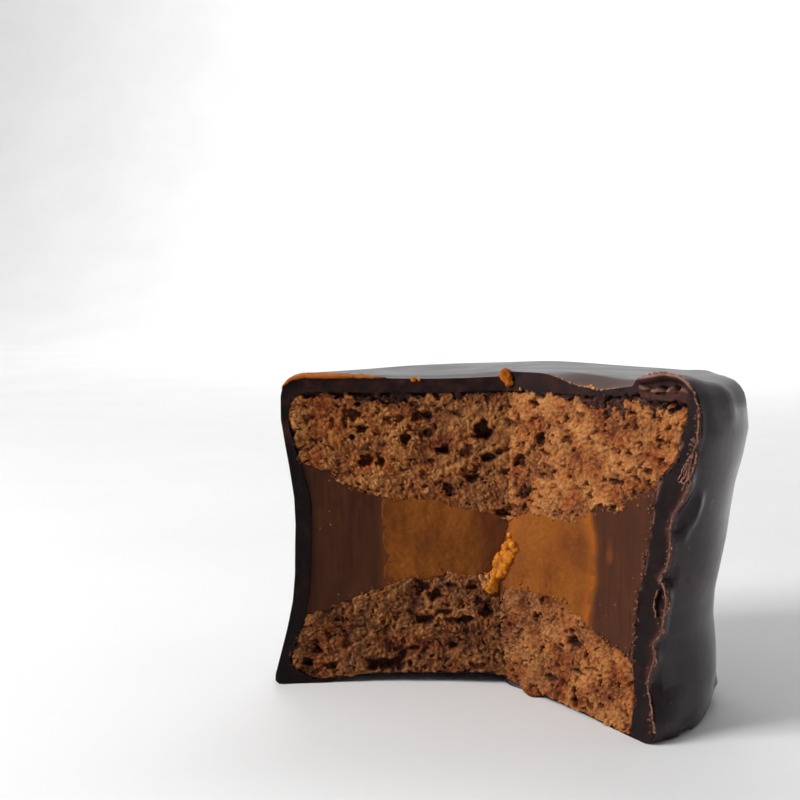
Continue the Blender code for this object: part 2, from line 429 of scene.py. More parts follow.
def deselect():
    if bpy.context.object and bpy.context.object.mode != "OBJECT":
        bpy.ops.object.mode_set(mode="OBJECT")
    bpy.ops.object.select_all(action="DESELECT")


def pick(piece):
    deselect()
    piece.select_set(True)
    bpy.context.view_layer.objects.active = piece


def flatGrid(name, along, across, middle=(0.5, 0.5, 0), turn=(0, 0, 0)):
    deselect()
    bpy.ops.mesh.primitive_grid_add(x_subdivisions=along, y_subdivisions=across, size=1,
                                    location=middle, rotation=turn)
    piece = bpy.context.object
    piece.name = name
    bpy.ops.object.transform_apply(location=True, rotation=True, scale=True)
    return piece


def spunBlock(name, along, across, steps):
    # a flat grid turned half round the z axis: radius 1 to 2 and height 0 to 1, closed all over
    block = flatGrid(name, along, across, (1.5, 0, 0.5), (math.pi / 2, 0, 0))
    bpy.ops.object.mode_set(mode="EDIT")
    bpy.ops.mesh.select_all(action="SELECT")
    bpy.ops.mesh.spin(steps=steps, dupli=False, angle=math.pi, center=(0, 0, 0), axis=(0, 0, 1))
    bpy.ops.object.mode_set(mode="OBJECT")
    return block


def blockPlace(co):
    # share of the way round, along and across, from a vertex of a spun block
    share = abs(math.atan2(co.y, co.x)) / math.pi
    share = 0.0 if share < 0.0001 else 1.0 if share > 0.9999 else share
    return share, min(1.0, max(0.0, math.hypot(co.x, co.y) - 1)), min(1.0, max(0.0, co.z))


def refineEnds(block, margin, cuts):
    # finer faces on both cut faces and on the strip of skin beside them
    pick(block)
    bpy.ops.object.mode_set(mode="EDIT")
    bpy.ops.mesh.select_all(action="DESELECT")
    mesh = bmesh.from_edit_mesh(block.data)
    for face in mesh.faces:
        shares = [blockPlace(vert.co)[0] for vert in face.verts]
        face.select = max(shares) < margin or min(shares) > 1 - margin
    bmesh.update_edit_mesh(block.data)
    bpy.ops.mesh.subdivide(number_cuts=cuts, smoothness=0)
    bpy.ops.object.mode_set(mode="OBJECT")


def gridPlace(co):
    return co.x, co.y


def reshape(piece, place, names, spot=blockPlace):
    # moves each vertex to its place, and keeps what else place() says as attributes
    layers = [piece.data.attributes.new(name, "FLOAT", "POINT") for name in names]
    for i, vert in enumerate(piece.data.vertices):
        point, *values = place(*spot(vert.co))
        vert.co = point * mm
        for layer, value in zip(layers, values):
            layer.data[i].value = value


def closeUp(piece):
    # merges what met in one place and turns all faces outwards
    pick(piece)
    bpy.ops.object.mode_set(mode="EDIT")
    bpy.ops.mesh.select_all(action="SELECT")
    bpy.ops.mesh.remove_doubles(threshold=0.00001)
    bpy.ops.mesh.normals_make_consistent(inside=False)
    bpy.ops.object.mode_set(mode="OBJECT")
    bpy.ops.object.shade_smooth()


def applyAll(piece):
    pick(piece)
    for modifier in list(piece.modifiers):
        bpy.ops.object.modifier_apply(modifier=modifier.name)


def thicken(piece, thick):
    wall = piece.modifiers.new("thickness", "SOLIDIFY")
    wall.thickness = thick * mm
    wall.offset = -1
    applyAll(piece)


def finishPiece(piece, slot, *finishes, node=None):
    for finish in finishes:
        piece.data.materials.append(materials[finish])
    closeUp(piece)
    if node:
        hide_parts(node)
    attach(piece, "root")


# Material helpers
def newMaterial(name):
    made = bpy.data.materials.new(name)
    made.use_nodes = True
    return made, made.node_tree


def feed(tree, socket, value):
    # value is a number, a colour, a vector or another node's output
    if isinstance(value, (int, float)):
        socket.default_value = value
    elif isinstance(value, tuple):
        socket.default_value = (*value, 1)[:len(socket.default_value)]
    else:
        tree.links.new(value, socket)


def finishMaterial(made, **values):
    # values go by the names on the shader, without their spaces
    tree = made.node_tree
    for socket in tree.nodes["Principled BSDF"].inputs:
        key = socket.name.replace(" ", "")
        if key in values:
            feed(tree, socket, values[key])
    return made


def addNode(tree, kind, values, **settings):
    made = tree.nodes.new(kind)
    for key, value in settings.items():
        setattr(made, key, value)
    for key, value in values.items():
        feed(tree, made.inputs[key], value)
    return made


def onPiece(tree, stretch=(1, 1, 1)):
    # the piece's own coordinates in millimetres, stretched
    coords = addNode(tree, "ShaderNodeTexCoord", {})
    values = {"Vector": coords.outputs["Object"], "Scale": tuple(s / mm for s in stretch)}
    return addNode(tree, "ShaderNodeMapping", values).outputs["Vector"]


def noisy(tree, vector, size, detail=3.0, rough=0.55, output="Fac"):
    values = {"Vector": vector, "Scale": 1 / size, "Detail": detail, "Roughness": rough}
    return addNode(tree, "ShaderNodeTexNoise", values).outputs[output]


def cells(tree, vector, size):
    values = {"Vector": vector, "Scale": 1 / size}
    return addNode(tree, "ShaderNodeTexVoronoi", values).outputs["Distance"]


def ramp(tree, value, *stops):
    made = addNode(tree, "ShaderNodeValToRGB", {"Fac": value})
    band = made.color_ramp
    while len(band.elements) < len(stops):
        band.elements.new(0.5)
    for element, (at, colour) in zip(band.elements, stops):
        element.position = at
        element.color = (*colour, 1) if isinstance(colour, tuple) else (colour, colour, colour, 1)
    return made.outputs["Color"]


def sums(tree, kind, a, b):
    return addNode(tree, "ShaderNodeMath", {0: a, 1: b}, operation=kind).outputs["Value"]


def blend(tree, share, a, b, kind="MIX"):
    values = {0: share, 6: a, 7: b}
    return addNode(tree, "ShaderNodeMix", values, data_type="RGBA", blend_type=kind).outputs[2]


def bumps(tree, height, depth, strength, before=None):
    values = {"Strength": strength, "Distance": depth * mm, "Height": height}
    if before:
        values["Normal"] = before
    return addNode(tree, "ShaderNodeBump", values).outputs["Normal"]


def attribute(tree, name):
    return addNode(tree, "ShaderNodeAttribute", {}, attribute_name=name).outputs["Fac"]


# Crumb. Colours are painted shade for its deepest holes and hollows, its body colour, and a painted
# highlight on its proud grains.
crumbStyle = {
    "hole": (0.050, 0.016, 0.008),
    "deep": (0.160, 0.048, 0.016),
    "body": (0.410, 0.160, 0.046),
    "proud": (0.570, 0.290, 0.110),
    "red": (0.300, 0.085, 0.028),
    "yellow": (0.420, 0.210, 0.050),
    "soaked": (0.026, 0.0090, 0.0068),
    "soakedLight": (0.150, 0.054, 0.032),
    "grain": 0.50,
}


def crumbMaterial():
    made, tree = newMaterial("cocoaCrumb")
    place = onPiece(tree)
    bent = blend(tree, 0.12, place, noisy(tree, place, 0.5, 2, 0.5, "Color"), "LINEAR_LIGHT")
    grain = cells(tree, bent, crumbStyle["grain"])
    fine = noisy(tree, place, 0.24, 3, 0.65)
    mottle = noisy(tree, place, 0.95, 4, 0.65)
    patch = noisy(tree, place, 3.4, 3)
    other = noisy(tree, onPiece(tree, (-1, 1, -1)), 2.6, 3)
    relief = attribute(tree, "relief")
    shape = sums(tree, "MULTIPLY", sums(tree, "SUBTRACT", 0.42, grain), 0.55)
    speckle = sums(tree, "MULTIPLY", sums(tree, "SUBTRACT", mottle, 0.5), 0.9)
    level = sums(tree, "ADD", relief, sums(tree, "ADD", shape, speckle))
    level = sums(tree, "ADD", sums(tree, "MULTIPLY", level, 0.55), 0.56)
    # painted shade and highlight: darker where the relief sinks, between grains and in holes; lighter on
    # proud grains
    colour = ramp(tree, level, (0.02, crumbStyle["hole"]), (0.30, crumbStyle["deep"]),
                  (0.56, crumbStyle["body"]), (0.88, crumbStyle["proud"]))
    reddish = ramp(tree, patch, (0.48, 0.0), (0.70, 0.65))
    colour = blend(tree, reddish, colour, blend(tree, 1.0, colour, crumbStyle["red"], "OVERLAY"))
    yellowish = ramp(tree, other, (0.52, 0.0), (0.74, 0.55))
    colour = blend(tree, yellowish, colour, blend(tree, 1.0, colour, crumbStyle["yellow"], "OVERLAY"))
    # real soak and painted shade, both in the soaked colour, with painted shade in its hollows and a
    # painted highlight on its lumps
    soak = attribute(tree, "soak")
    wet = ramp(tree, level, (0.45, crumbStyle["soaked"]), (0.95, crumbStyle["soakedLight"]))
    colour = blend(tree, soak, colour, wet)
    dull = ramp(tree, soak, (0.0, 0.9), (1.0, 0.6))
    rounded = sums(tree, "SUBTRACT", 1.0, grain)
    normal = bumps(tree, fine, 0.09, 0.45, bumps(tree, rounded, 0.24, 0.7))
    return finishMaterial(made, BaseColor=colour, Roughness=dull, SpecularIORLevel=0.12, Normal=normal)


# Crumb relief: grains, clumps of grains and holes, all in millimetres
grainStyle = {
    "clump": (1.7, 0.18),       # size, height
    "grain": (0.80, 0.22),
    "crumb": (0.42, 0.14),
    "waves": 0.40,
    "streak": 1.2,
    "calm": 0.82,               # the left cut is smoother
    "pore": (1.10, 0.46),       # size, depth
    "poreFrom": 0.30,
    "holeCell": 3.0,
    "holeDepth": 0.9,
    "holeShare": 0.12,
}


def grains(point, size):
    near = noise.voronoi(point / size)[0]
    return min(1.0, (near[1] - near[0]) * 2.6) * (1.15 - near[0] * 0.8) - 0.55


def crumbRelief(point):
    style = grainStyle
    point = Vector((point.x, point.y, point.z * style["streak"]))
    bent = point + noise.noise_vector(point / 1.5) * 0.5 + noise.noise_vector(point / 0.5) * 0.16
    height = style["waves"] * noise.fractal(point / 4.5, 0.8, 2.0, 3)
    for size, amount in (style["clump"], style["grain"], style["crumb"]):
        height += amount * grains(bent, size)
    size, depth = style["pore"]
    height -= depth * eased((noise.fractal(bent / size, 0.8, 2.1, 3) - style["poreFrom"]) / 0.25)
    cell, centres = noise.voronoi(bent / style["holeCell"])
    if abs(noise.noise(centres[0] * 7.3)) * 2 > 1 - style["holeShare"] * 2:
        edge = 0.36 + 0.20 * noise.noise(point / 0.6)
        height -= style["holeDepth"] * eased((edge - cell[0]) / 0.14)
    return height


def reachAt(share, z, depth):
    # reach of the coating's wall at a height, found along the section
    low, high = 0.24, 0.76
    for _ in range(9):
        along = (low + high) / 2
        if skin(share, along, depth)[1] > z:
            low = along
        else:
            high = along
    return skin(share, (low + high) / 2, depth)[0]


wallSteps = 48
wallHeight = 44
wallInner = [
    [reachAt(i / wallSteps, wallHeight * j / wallSteps, 1) for j in range(wallSteps + 1)]
    for i in range(wallSteps + 1)
]
print("inner wall measured")


def innerWall(share, z):
    return lookup(wallInner, share, z / wallHeight)


# share of the section that lies above, or below, the guide box
guideShare = guide["reach"] / (2 * guide["reach"] + 2 * guide["cornerRun"] + guide["top"] - guide["low"])


def roofAt(share, reach):
    # underside of the top coat
    along = reach / guide["reach"] * guideShare
    return skin(share, min(along, guideShare * 1.25), 1)[1]


def floorAt(share, reach):
    # upper side of the base coat
    along = 1 - reach / guide["reach"] * guideShare
    return skin(share, max(along, 1 - guideShare * 1.25), 1)[1]


layerStyle = {
    "overlap": 0.35,        # how far crumb runs under the coating's edge
    "sunk": 0.22,           # how far the filling stands back from the crumb at the cuts
    "ragged": 0.40,         # unevenness of the cookies' edges against the filling
    "behind": 1.6,          # how far the filling runs on behind the crumb
    "tucked": 0.9,          # and how deep it lies there
    "coreReach": 16.0,
    "steps": 14,            # faces round the food, hidden behind the cuts
}


def ragged(share, reach, z, seed):
    place = cutPoint(share, reach, z) / 1.3 + Vector((seed, 0, 0))
    return layerStyle["ragged"] * (noise.noise(place) + 0.6 * noise.noise(place * 2.3))


# Named holes and cracks at the cuts: (share, reach, height, half width, half height, depth)
crumbHoles = (
    (0, 13.2, 32.6, 0.75, 0.55, 1.1), (0, 8.1, 31.2, 0.8, 0.45, 1.1), (0, 3.3, 34.0, 1.0, 1.1, 1.5),
    (0, 2.4, 30.4, 0.9, 0.45, 0.9), (0, 1.3, 31.2, 0.5, 0.4, 0.8), (0, 21.2, 35.6, 0.4, 1.2, 0.5),
    (0, 20.3, 33.0, 0.3, 0.28, 0.9), (0, 19.6, 37.4, 0.35, 0.3, 0.8), (0, 11.0, 35.8, 1.3, 0.6, 0.7),
    (0, 13.8, 35.5, 0.8, 0.5, 0.5), (0, 10.2, 33.4, 0.6, 0.5, 0.6), (0, 4.4, 27.6, 0.9, 0.5, 0.7),
    (0, 10.6, 8.4, 1.1, 0.5, 0.8), (0, 8.0, 9.6, 0.9, 0.4, 0.7), (0, 5.2, 8.6, 1.3, 0.5, 0.9),
    (0, 25.0, 4.4, 0.6, 0.5, 0.7), (0, 12.2, 4.6, 0.6, 0.4, 0.7), (0, 15.5, 2.4, 2.6, 0.8, 1.0),
    (0, 13.5, 3.6, 0.4, 0.8, 0.7), (0, 4.2, 13.0, 0.8, 0.35, 0.7), (0, 7.2, 13.2, 0.9, 0.3, 0.6),
    (0, 2.0, 9.8, 1.0, 0.8, 0.7), (0, 6.8, 5.0, 0.7, 0.4, 0.7), (0, 21.0, 5.2, 0.9, 0.4, 0.5),
    (1, 5.6, 33.4, 0.9, 0.75, 1.0), (1, 4.6, 32.2, 0.4, 0.5, 0.6), (1, 25.7, 35.0, 0.7, 0.22, 0.7),
    (1, 21.0, 33.0, 0.7, 0.2, 0.7), (1, 19.4, 33.0, 0.3, 0.35, 0.6), (1, 24.2, 31.2, 0.7, 0.45, 0.6),
    (1, 18.6, 29.4, 1.0, 0.35, 0.8), (1, 14.5, 28.6, 0.5, 0.3, 0.8), (1, 11.6, 29.2, 0.4, 0.2, 0.7),
    (1, 7.2, 13.8, 0.4, 0.35, 1.0), (1, 6.4, 12.4, 0.35, 0.35, 0.9), (1, 10.4, 7.6, 0.4, 0.3, 0.8),
    (1, 13.9, 5.0, 1.2, 0.18, 0.7), (1, 8.6, 3.0, 0.9, 0.35, 0.7), (1, 13.2, 2.4, 0.3, 0.6, 0.7),
    (1, 20.6, 4.8, 0.3, 0.4, 0.7), (1, 18.2, 2.0, 0.4, 0.3, 0.7), (1, 12.0, 9.8, 0.35, 0.25, 0.7),
)


def namedHoles(side, reach, z, bend):
    depth = 0.0
    for at, far, level, wide, tall, deep in crumbHoles:
        if at == side and abs(reach - far) < 2 * wide + 1 and abs(z - level) < 2 * tall + 1:
            off = math.hypot((reach - far) / wide, (z - level) / tall) + bend * 1.5
            depth = max(depth, deep * eased((1.35 - off) / 0.7))
    return depth


# How deep chocolate has soaked into the crumb under the top coat: (reach, depth), left and right cut
soakDepth = (
    ((0, 0.8), (6, 0.9), (10, 1.7), (14, 1.9), (18, 1.2), (22, 0.7), (30, 0.6)),
    ((0, 0.4), (9, 0.6), (13, 1.8), (17, 2.4), (21, 2.2), (24, 1.4), (26, 2.4), (28, 1.0), (30, 0.6)),
)


# Painted shade over the rest of it, put on in the soaked colour: (reach, share of the soaked colour), left
# and right cut
paintedShade = {
    "upper_cookie": (((0, 0.36), (8, 0.28), (15, 0.05), (30, 0)),
                     ((0, 0.10), (15, 0.15), (30, 0.11))),
    "lower_cookie": (((0, 0.54), (10, 0.42), (22, 0.46), (30, 0.5)),
                     ((0, 0.40), (7, 0.27), (16, 0.13), (30, 0.06))),
}


# share of the soaked colour: real soak at the coating's wall and under the top coat, plus painted shade
# from the table above and along the wall of the left cut
def soaked(node, share, reach, z, point):
    gap = innerWall(share, z) - reach
    shadeShare = between(paintedShade[node][round(share)], reach)
    # painted shade along the coating's wall at the left cut
    if share < 0.5:
        shadeShare += 0.12 * eased(1 - gap / 1.6)
    shadeShare *= 1 + 0.9 * noise.noise(point / 2.0)
    wet = 0.3 - gap
    if node == "upper_cookie":
        deep = between(soakDepth[round(share)], reach)
        deep *= 0.75 + 1.1 * noise.fractal(point / 1.4, 0.8, 2.0, 3)
        wet = max(wet, deep - (roofAt(share, reach) - z))
    return max(eased(wet / 0.4 + 0.3), min(0.8, shadeShare))


def cookie(name, node, lowEdge, highEdge, along, across):
    # a cookie from the corner out to the coating, with its crumb laid open at both cuts
    block = spunBlock(name, along, across, layerStyle["steps"])

    def place(share, w, t):
        middle = mix(lowEdge(share, 12), highEdge(share, 12), t)
        reach = w * (innerWall(share, middle) + layerStyle["overlap"])
        low, high = lowEdge(share, reach), highEdge(share, reach)
        z = mix(low, high, t)
        reach = w * (innerWall(share, z) + layerStyle["overlap"])
        point = cutPoint(share, reach, z)
        if 0 < share < 1 and w > 0:
            return point, 0.0, 0.0
        relief = crumbRelief(point) * (grainStyle["calm"] if share < 0.5 else 1.0)
        bend = 0.45 * noise.noise(point / 0.7)
        relief -= namedHoles(round(share), reach, z, bend) * eased(reach / 0.6)
        # real soak together with painted shade
        soak = soaked(node, share, reach, z, point)
        pit = eased((noise.noise(point / 0.95 + Vector((0, 0, 5))) - 0.05) / 0.25)
        relief -= soak ** 3 * (0.05 + 0.6 * pit)
        return raised(share, reach, z, relief), relief, soak

    reshape(block, place, ("relief", "soak"))
    finishPiece(block, "cocoa_crumb", "crumb", node=node)


# Where the crumb ends against the filling at the cuts: (reach, height) for the left and right cut
crumbEdges = {
    "upper": (
        ((0, 22.0), (1.7, 22.9), (4.7, 23.2), (7.8, 23.9), (9.6, 24.5), (15.4, 24.7), (18, 25.2),
         (19.4, 26.0), (21.9, 27.2), (22.8, 28.4), (26, 29.4), (29, 31)),
        ((0, 22.0), (1.3, 22.6), (4.4, 23.6), (7.1, 23.7), (9.4, 23.3), (11.5, 23.2), (13.6, 24.1),
         (14.9, 25.7), (16.6, 26.6), (18.6, 25.7), (20, 26.4), (21.6, 27.8), (23.2, 28.2), (26, 29.2),
         (29, 31)),
    ),
    "lower": (
        ((0, 12.5), (2.7, 14.3), (4.7, 14.6), (7, 15.1), (9.1, 14.8), (10.3, 14.2), (12.1, 14.3),
         (14.1, 13.5), (16.4, 12.9), (18.6, 12.2), (21.2, 10.9), (24.1, 9.8), (26.2, 9.2), (29, 8)),
        ((0, 11.5), (1.7, 13.2), (4.7, 13.6), (7.6, 13.5), (10.4, 12.8), (13.3, 11.7), (16.1, 10.3),
         (19, 9.4), (21.8, 8.7), (23.2, 7.7), (25, 5.5)),
    ),
}


def crumbEdge(which, side, reach):
    return between(crumbEdges[which][side], reach)


def edgeHeight(which, table, share, reach):
    # the cookie's face, drawn to its edge at the nearer cut
    near = eased(1 - min(share, 1 - share) / 0.08)
    z = mix(heightAt(table, share, reach), crumbEdge(which, round(share), reach), near)
    return z + ragged(share, reach, z, 3.0 if which == "upper" else 9.0)


def upperLow(share, reach):
    return edgeHeight("upper", upperUnderside, share, reach)


def upperHigh(share, reach):
    return roofAt(share, reach) + 0.15


def lowerLow(share, reach):
    return floorAt(share, reach) - 0.05


def lowerHigh(share, reach):
    return edgeHeight("lower", lowerTop, share, reach)


# Filling: a smooth ring of milk caramel round a grainy spiced core
fillingStyle = {
    "ring": (0.065, 0.0200, 0.0082),
    "ringDark": (0.044, 0.0135, 0.0064),
    "ringWarm": (0.110, 0.036, 0.014),
    "speck": (0.22, 0.13, 0.08),
    "core": (0.200, 0.057, 0.0066),
    "coreDark": (0.130, 0.033, 0.0048),
    "coreGlow": (0.250, 0.078, 0.0090),
    "corner": (0.080, 0.020, 0.0045),
    "rim": (0.330, 0.085, 0.0100),
    "amber": (0.500, 0.155, 0.010),
    "amberDark": (0.300, 0.085, 0.011),
    "amberLight": (0.620, 0.235, 0.020),
}


def ringMaterial():
    made, tree = newMaterial("milkCaramel")
    place = onPiece(tree)
    streaks = noisy(tree, onPiece(tree, (1, 1, 0.09)), 0.8, 4)
    cloud = noisy(tree, place, 5.0, 2)
    colour = ramp(tree, streaks, (0.3, fillingStyle["ringDark"]), (0.62, fillingStyle["ring"]))
    warm = ramp(tree, cloud, (0.55, 0.0), (0.75, 0.35))
    colour = blend(tree, warm, colour, fillingStyle["ringWarm"])
    speck = ramp(tree, cells(tree, place, 1.5), (0.05, 1.0), (0.09, 0.0))
    colour = blend(tree, speck, colour, fillingStyle["speck"])
    smear = attribute(tree, "smear")
    colour = blend(tree, smear, colour, fillingStyle["core"])
    dull = ramp(tree, cloud, (0.3, 0.50), (0.7, 0.65))
    return finishMaterial(made, BaseColor=colour, Roughness=dull, SpecularIORLevel=0.10,
                          SubsurfaceWeight=0.15, SubsurfaceRadius=(0.0012, 0.0005, 0.0002),
                          Normal=bumps(tree, streaks, 0.10, 0.35))


def coreMaterial():
    made, tree = newMaterial("spicedCaramel")
    place = onPiece(tree)
    cloud = noisy(tree, onPiece(tree, (1, 1, 0.6)), 4.5, 4, 0.5)
    streaks = noisy(tree, onPiece(tree, (1, 1, 0.12)), 0.7, 3)
    grit = noisy(tree, place, 0.5, 3, 0.55)
    mixed = sums(tree, "ADD", sums(tree, "MULTIPLY", cloud, 0.85), sums(tree, "MULTIPLY", streaks, 0.15))
    colour = ramp(tree, mixed, (0.30, fillingStyle["coreDark"]), (0.48, fillingStyle["core"]),
                  (0.72, fillingStyle["coreGlow"]))
    gritty = ramp(tree, grit, (0.35, (0.86, 0.84, 0.8)), (0.65, (1.1, 1.1, 1.1)))
    colour = blend(tree, 1.0, colour, gritty, "MULTIPLY")
    # painted shade towards the corner, together with darker drips and edge bands of its own colour, in the
    # corner colour
    colour = blend(tree, attribute(tree, "shade"), colour, fillingStyle["corner"])
    colour = blend(tree, attribute(tree, "smear"), colour, fillingStyle["rim"])
    return finishMaterial(made, BaseColor=colour, Roughness=0.6, SpecularIORLevel=0.10,
                          SubsurfaceWeight=0.2, SubsurfaceRadius=(0.0015, 0.0006, 0.0002),
                          Normal=bumps(tree, grit, 0.12, 0.4, bumps(tree, cloud, 0.4, 0.3)))


def fillingLayer(name, node, slot, finish, nearReach, farReach, along, across, reliefAt):
    # a filling from one reach to another, between the two cookies and a little behind their edges
    block = spunBlock(name, along, across, layerStyle["steps"])
    behind = layerStyle["behind"]

    def place(share, w, t):
        reach = mix(nearReach, farReach(share, 20), w)
        low = heightAt(lowerTop, share, reach) - behind
        high = heightAt(upperUnderside, share, reach) + behind
        z = mix(low, high, t)
        reach = mix(nearReach, farReach(share, z), w)
        point = cutPoint(share, reach, z)
        if 0 < share < 1 and reach > 0:
            return point, 0.0, 0.0
        relief, smear, shade = reliefAt(share, reach, z, point)
        hidden = max(lowerHigh(share, reach) - z, z - upperLow(share, reach))
        relief -= layerStyle["tucked"] * eased((hidden - 0.1) / 0.5)
        return raised(share, reach, z, relief), smear, shade

    reshape(block, place, ("smear", "shade"))
    finishPiece(block, slot, finish, node=node)


def coreEdge(share, z, point):
    # reach of the core's edge, nearer at the top and bottom of the right cut
    edge = layerStyle["coreReach"] + 0.25 * noise.noise(point / 2.2)
    if share < 0.5:
        return edge + 0.5
    return edge - 0.9 * eased((17 - z) / 5) - 0.8 * eased((z - 22) / 2.5)


def ringRelief(share, reach, z, point):
    grooves = noise.noise(Vector((point.x, point.y, point.z * 0.2)) / 0.5)
    waves = 0.12 * noise.noise(point / 3.0) + 0.03 * grooves
    smear = (0.9 if share > 0.5 else 0.4) * eased((coreEdge(share, z, point) + 0.7 - reach) / 1.5)
    if share > 0.5:         # a smudge of the core on the ring
        smudge = math.hypot((reach - 18.2) / 0.7, (z - 20.6) / 1.5) + 0.5 * noise.noise(point / 0.6)
        smear = max(smear, 0.45 * eased(1.2 - smudge))
    return waves - layerStyle["sunk"], smear, 0.0


def coreRelief(share, reach, z, point):
    rough = 0.12 * noise.fractal(point / 2.0, 0.9, 2.1, 3)
    edge = coreEdge(share, z, point)
    tuck = 0.5 * eased((reach - edge) / 0.8 + 0.5)
    if share < 0.5:
        drips = eased((noise.noise(Vector((reach / 1.1, 0, z / 3.0))) - 0.05) / 0.3)
        # painted shade towards the corner, darker drips of its own colour higher up, and its own darker
        # band by the edge
        shade = 0.9 * eased(1 - reach / 7.5) + 0.35 * drips * eased((z - 18.5) / 4)
        shade = max(shade, 0.6 * eased((reach - edge + 1.3) / 1.5))
        rim = 0.0
    else:
        # painted shade in the corner, and its own darker band by the edge
        shade = max(0.25 * eased(1 - reach / 2.0), 0.35 * eased((reach - edge + 0.5) / 0.7))
        rim = 0.5 * eased((reach - edge + 2.2) / 1.6) * (1 - eased((reach - edge + 0.6) / 0.6))
        rim = max(rim, 0.6 * hump((reach - 0.9) / 0.7) * eased((z - 15) / 3))
    return rough - layerStyle["sunk"] * 0.8 - tuck, rim, min(1.0, shade)


# Chocolate finishes
chocolateStyle = {
    "gloss": (0.0165, 0.0068, 0.0095),
    "glossWarm": (0.0380, 0.0150, 0.0185),
    "speck": (0.12, 0.08, 0.06),
    "cutFace": (0.0078, 0.0038, 0.0042),
    "cutWarm": (0.0620, 0.0210, 0.0145),
    "rim": (0.3200, 0.1600, 0.1150),
    "smear": (0.3700, 0.0950, 0.0100),
    "smearDark": (0.200, 0.055, 0.009),
    "smearLight": (0.450, 0.150, 0.020),
    "smearThin": (0.0700, 0.0230, 0.0110),
}


def glossMaterial():
    made, tree = newMaterial("glossyChocolate")
    place = onPiece(tree)
    cloud = noisy(tree, place, 7.0, 3)
    fine = noisy(tree, place, 0.5, 3)
    warm = ramp(tree, cloud, (0.48, 0.0), (0.75, 0.9))
    colour = blend(tree, warm, chocolateStyle["gloss"], chocolateStyle["glossWarm"])
    speck = ramp(tree, cells(tree, place, 1.9), (0.035, 1.0), (0.06, 0.0))
    colour = blend(tree, speck, colour, chocolateStyle["speck"])
    colour = blend(tree, attribute(tree, "tint"), colour, chocolateStyle["rim"])
    dull = sums(tree, "MULTIPLY", attribute(tree, "warm"), 0.22)
    dull = sums(tree, "ADD", ramp(tree, cloud, (0.3, 0.17), (0.7, 0.28)), dull)
    normal = bumps(tree, fine, 0.05, 0.25, bumps(tree, cloud, 0.4, 0.3))
    return finishMaterial(made, BaseColor=colour, Roughness=dull, SpecularIORLevel=0.27, Normal=normal)


def cutChocolateMaterial():
    made, tree = newMaterial("cutChocolate")
    place = onPiece(tree)
    cloud = noisy(tree, place, 2.2, 4)
    fine = noisy(tree, place, 0.3, 3)
    blotches = ramp(tree, cloud, (0.5, 0.0), (0.85, 0.3))
    colour = blend(tree, blotches, chocolateStyle["cutFace"], chocolateStyle["cutWarm"])
    colour = blend(tree, attribute(tree, "warm"), colour, chocolateStyle["cutWarm"])
    colour = blend(tree, attribute(tree, "tint"), colour, chocolateStyle["rim"])
    dull = ramp(tree, cloud, (0.3, 0.55), (0.7, 0.7))
    return finishMaterial(made, BaseColor=colour, Roughness=dull, SpecularIORLevel=0.10,
                          Normal=bumps(tree, fine, 0.12, 0.4))


def amberMaterial():
    made, tree = newMaterial("amberCaramel")
    place = onPiece(tree)
    cloud = noisy(tree, place, 0.9, 4)
    colour = ramp(tree, cloud, (0.30, fillingStyle["amberDark"]), (0.50, fillingStyle["amber"]),
                  (0.72, fillingStyle["amberLight"]))
    return finishMaterial(made, BaseColor=colour, Roughness=0.6, SpecularIORLevel=0.12,
                          SubsurfaceWeight=0.25, SubsurfaceRadius=(0.001, 0.0004, 0.0001),
                          Normal=bumps(tree, noisy(tree, place, 0.3, 3), 0.10, 0.4))


def smearMaterial():
    made, tree = newMaterial("smearedCaramel")
    cloud = noisy(tree, onPiece(tree), 1.8, 4)
    colour = ramp(tree, cloud, (0.28, chocolateStyle["smearDark"]), (0.50, chocolateStyle["smear"]),
                  (0.75, chocolateStyle["smearLight"]))
    colour = blend(tree, attribute(tree, "fade"), colour, chocolateStyle["smearThin"])
    return finishMaterial(made, BaseColor=colour, Roughness=0.75, SpecularIORLevel=0.06,
                          Normal=bumps(tree, cloud, 0.15, 0.5))


materials = {
    "amber": amberMaterial(),
    "smear": smearMaterial(),
    "crumb": crumbMaterial(),
    "ring": ringMaterial(),
    "core": coreMaterial(),
    "gloss": glossMaterial(),
    "cutChocolate": cutChocolateMaterial(),
}

cookie("upperCookieCrumb", "upper_cookie", upperLow, upperHigh, 210, 120)
cookie("lowerCookieCrumb", "lower_cookie", lowerLow, lowerHigh, 210, 100)
print("cookies made")


def ringFar(share, z):
    return innerWall(share, z) + layerStyle["overlap"]


def coreFar(share, z):
    return layerStyle["coreReach"] + 0.4


ringNear = layerStyle["coreReach"] - 1.5
fillingLayer("caramelRing", "filling", "milk_caramel", "ring", ringNear, ringFar, 80, 100, ringRelief)
fillingLayer("caramelCore", "filling_core", "spiced_caramel", "core", 0.0, coreFar, 110, 90, coreRelief)
print("filling made")

# Chocolate pushed up along the outer edge of the right cut. Nibs are (height, how far out, size).
burrStyle = {
    "width": 1.5,           # of the flare of the cut face towards its edge
    "height": 0.65,
    "nibs": ((9.4, 0.6, 0.45), (13.2, 0.25, 0.4), (16.2, 0.55, 0.6), (22.9, 0.2, 0.5), (30.9, 0.4, 0.4),
             (35.6, 0.2, 0.4)),
}


outerEdges = [(z, reachAt(1, z, 0)) for z in range(43)]


def ridgeReach(z):
    reach = between(outerEdges, z)
    for level, out, size in burrStyle["nibs"]:
        reach += out * hump((z - level) / size)
    return reach


